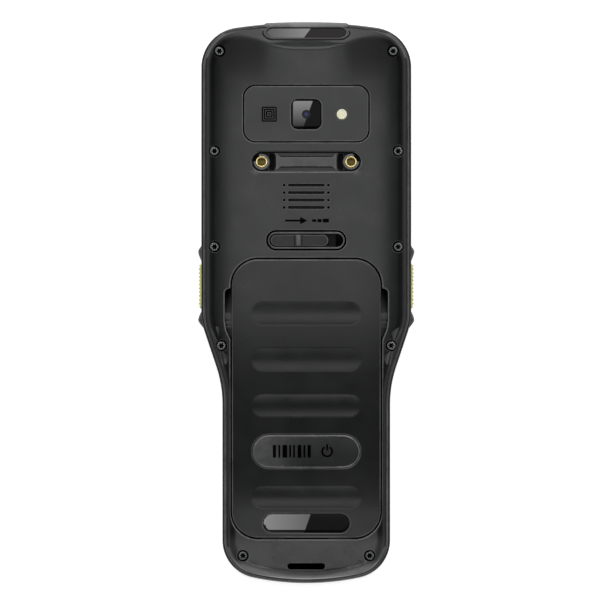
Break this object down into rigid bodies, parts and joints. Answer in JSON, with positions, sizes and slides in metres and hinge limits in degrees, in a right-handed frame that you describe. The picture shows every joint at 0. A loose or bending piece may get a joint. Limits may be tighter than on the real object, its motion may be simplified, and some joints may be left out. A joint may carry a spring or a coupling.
{
  "type": "portable barcode data terminal",
  "caption": "Rugged hand-held barcode data terminal with a wide head, a narrow keypad grip, a hinged battery cover with a slide latch, side scan keys and a tilted scan window.",
  "frame": {"origin": "middle of the footprint, on the plane of the front rim that the terminal lies on", "axes": "+Y towards the scanning end, +Z out of the back, +X to the right seen from the back"},
  "size_m": [0.078, 0.202, 0.0291],
  "materials": {
    "front_shell": "fine moulded texture",
    "rear_shell": "fine moulded texture, satin",
    "cover_shell": "fine moulded texture, satin",
    "rear_button": "smooth satin",
    "latch": "smooth satin",
    "plate": "fine satin",
    "lens_glass": "polished, dark coated",
    "module": "moulded",
    "flash": "clear lens over a pale emitter",
    "scan_glass": "polished, dark red filter",
    "scan_frame": "satin",
    "brass": "machined, knurled",
    "steel": "bright",
    "side_key": "soft touch",
    "mesh": "fine black mesh",
    "display_glass": "polished, black border",
    "panel": "display panel",
    "fascia": "satin",
    "mat": "moulded silicone",
    "board": "solder resist",
    "battery": "wrapped cell pack",
    "contacts": "plated springs",
    "flap": "soft rubber",
    "keys": "moulded silicone with hard caps"
  },
  "bodies": {
    "terminal": {"front_housing": "front_shell", "rear_housing": "rear_shell", "camera_plate": "plate", "camera_window": "lens_glass", "camera_module": "module", "flash_lens": "flash", "scan_window": "scan_glass", "scan_frame": "scan_frame", "scan_engine": "module", "strap_inserts": "brass", "housing_screws": "steel", "side_switches": "module", "speaker_mesh": "mesh", "speaker": "module", "display_glass": "display_glass", "display_module": "panel", "keypad_fascia": "fascia", "keypad_mat": "mat", "keypad_board": "board", "main_board": "board", "battery_pack": "battery", "battery_contacts": "contacts", "card_socket": "steel", "usb_socket": "steel"},
    "battery_cover": {"battery_cover": "cover_shell", "rear_switch": "board"},
    "rear_button": {"rear_button": "rear_button"},
    "cover_latch": {"cover_latch": "latch"},
    "side_key_left": {"side_key_left": "side_key"},
    "side_key_right": {"side_key_right": "side_key"},
    "usb_flap": {"usb_flap": "flap"},
    "key_scan": {"key_scan": "side_key"},
    "key_soft_left": {"key_soft_left": "keys"},
    "key_soft_right": {"key_soft_right": "keys"},
    "key_ring": {"key_ring": "keys"},
    "key_confirm": {"key_confirm": "keys"},
    "key_1": {"key_1": "keys"},
    "key_2": {"key_2": "keys"},
    "key_3": {"key_3": "keys"},
    "key_4": {"key_4": "keys"},
    "key_5": {"key_5": "keys"},
    "key_6": {"key_6": "keys"},
    "key_7": {"key_7": "keys"},
    "key_8": {"key_8": "keys"},
    "key_9": {"key_9": "keys"},
    "key_star": {"key_star": "keys"},
    "key_0": {"key_0": "keys"},
    "key_hash": {"key_hash": "keys"},
    "key_menu": {"key_menu": "keys"},
    "key_back": {"key_back": "keys"},
    "key_f1": {"key_f1": "keys"},
    "key_f2": {"key_f2": "keys"}
  },
  "joints": [
    {"name": "cover_hinge", "type": "hinge", "parent": "terminal", "child": "battery_cover", "pos_m": [0, -0.0845, 0.0215], "axis": [1, 0, 0], "range_deg": [0, 70]},
    {"name": "latch_slide", "type": "slide", "parent": "terminal", "child": "cover_latch", "axis": [1, 0, 0], "range_m": [0, 0.0052]},
    {"name": "rear_button_press", "type": "slide", "parent": "battery_cover", "child": "rear_button", "axis": [0, 0.1436, -0.9896], "range_m": [0, 0.0004], "stiffness_N_per_m": 300},
    {"name": "side_key_left_press", "type": "slide", "parent": "terminal", "child": "side_key_left", "axis": [1, 0, 0], "range_m": [0, 0.0006], "stiffness_N_per_m": 300},
    {"name": "side_key_right_press", "type": "slide", "parent": "terminal", "child": "side_key_right", "axis": [-1, 0, 0], "range_m": [0, 0.0006], "stiffness_N_per_m": 300},
    {"name": "usb_flap_hinge", "type": "hinge", "parent": "terminal", "child": "usb_flap", "pos_m": [0, -0.1006, 0.0053], "axis": [1, 0, 0], "range_deg": [0, 100]},
    {"name": "key_scan_press", "type": "slide", "parent": "terminal", "child": "key_scan", "axis": [0, 0, 1], "range_m": [0, 0.00045], "stiffness_N_per_m": 200},
    {"name": "key_soft_left_press", "type": "slide", "parent": "terminal", "child": "key_soft_left", "axis": [0, 0, 1], "range_m": [0, 0.00045], "stiffness_N_per_m": 200},
    {"name": "key_soft_right_press", "type": "slide", "parent": "terminal", "child": "key_soft_right", "axis": [0, 0, 1], "range_m": [0, 0.00045], "stiffness_N_per_m": 200},
    {"name": "key_ring_press", "type": "slide", "parent": "terminal", "child": "key_ring", "axis": [0, 0, 1], "range_m": [0, 0.00045], "stiffness_N_per_m": 200},
    {"name": "key_confirm_press", "type": "slide", "parent": "terminal", "child": "key_confirm", "axis": [0, 0, 1], "range_m": [0, 0.00045], "stiffness_N_per_m": 200},
    {"name": "key_1_press", "type": "slide", "parent": "terminal", "child": "key_1", "axis": [0, 0, 1], "range_m": [0, 0.00045], "stiffness_N_per_m": 200},
    {"name": "key_2_press", "type": "slide", "parent": "terminal", "child": "key_2", "axis": [0, 0, 1], "range_m": [0, 0.00045], "stiffness_N_per_m": 200},
    {"name": "key_3_press", "type": "slide", "parent": "terminal", "child": "key_3", "axis": [0, 0, 1], "range_m": [0, 0.00045], "stiffness_N_per_m": 200},
    {"name": "key_4_press", "type": "slide", "parent": "terminal", "child": "key_4", "axis": [0, 0, 1], "range_m": [0, 0.00045], "stiffness_N_per_m": 200},
    {"name": "key_5_press", "type": "slide", "parent": "terminal", "child": "key_5", "axis": [0, 0, 1], "range_m": [0, 0.00045], "stiffness_N_per_m": 200},
    {"name": "key_6_press", "type": "slide", "parent": "terminal", "child": "key_6", "axis": [0, 0, 1], "range_m": [0, 0.00045], "stiffness_N_per_m": 200},
    {"name": "key_7_press", "type": "slide", "parent": "terminal", "child": "key_7", "axis": [0, 0, 1], "range_m": [0, 0.00045], "stiffness_N_per_m": 200},
    {"name": "key_8_press", "type": "slide", "parent": "terminal", "child": "key_8", "axis": [0, 0, 1], "range_m": [0, 0.00045], "stiffness_N_per_m": 200},
    {"name": "key_9_press", "type": "slide", "parent": "terminal", "child": "key_9", "axis": [0, 0, 1], "range_m": [0, 0.00045], "stiffness_N_per_m": 200},
    {"name": "key_star_press", "type": "slide", "parent": "terminal", "child": "key_star", "axis": [0, 0, 1], "range_m": [0, 0.00045], "stiffness_N_per_m": 200},
    {"name": "key_0_press", "type": "slide", "parent": "terminal", "child": "key_0", "axis": [0, 0, 1], "range_m": [0, 0.00045], "stiffness_N_per_m": 200},
    {"name": "key_hash_press", "type": "slide", "parent": "terminal", "child": "key_hash", "axis": [0, 0, 1], "range_m": [0, 0.00045], "stiffness_N_per_m": 200},
    {"name": "key_menu_press", "type": "slide", "parent": "terminal", "child": "key_menu", "axis": [0, 0, 1], "range_m": [0, 0.00045], "stiffness_N_per_m": 200},
    {"name": "key_back_press", "type": "slide", "parent": "terminal", "child": "key_back", "axis": [0, 0, 1], "range_m": [0, 0.00045], "stiffness_N_per_m": 200},
    {"name": "key_f1_press", "type": "slide", "parent": "terminal", "child": "key_f1", "axis": [0, 0, 1], "range_m": [0, 0.00045], "stiffness_N_per_m": 200},
    {"name": "key_f2_press", "type": "slide", "parent": "terminal", "child": "key_f2", "axis": [0, 0, 1], "range_m": [0, 0.00045], "stiffness_N_per_m": 200}
  ]
}
